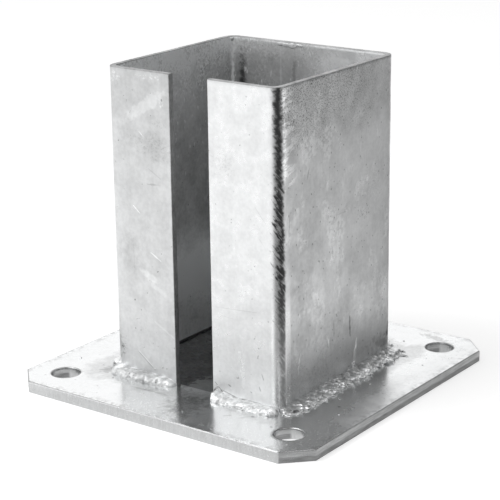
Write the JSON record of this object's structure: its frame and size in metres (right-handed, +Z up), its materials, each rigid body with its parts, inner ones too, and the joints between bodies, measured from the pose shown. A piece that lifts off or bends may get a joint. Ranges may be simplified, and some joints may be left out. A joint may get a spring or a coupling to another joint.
{
  "type": "timber post base",
  "caption": "Galvanised post base: a square folded steel sleeve, slotted down one face, welded to a bolt-down plate.",
  "frame": {"origin": "centre of the base plate's underside, which stands on the concrete", "axes": "+Z up along the post, -Y out of the slotted face of the sleeve, +X to the right seen from the slot"},
  "size_m": [0.17, 0.17, 0.1555],
  "materials": {
    "zinc_plate": "hot-dip galvanised steel, bright and mottled",
    "zinc_sleeve": "hot-dip galvanised steel sheet, dull sheen with fine streaks",
    "zinc_weld": "galvanised weld metal, lumpy and bright"
  },
  "bodies": {
    "root": {"base_plate": "zinc_plate", "post_sleeve": "zinc_sleeve", "weld_front_left": "zinc_weld", "weld_front_right": "zinc_weld", "weld_right": "zinc_weld", "weld_back": "zinc_weld", "weld_left": "zinc_weld"}
  },
  "joints": []
}
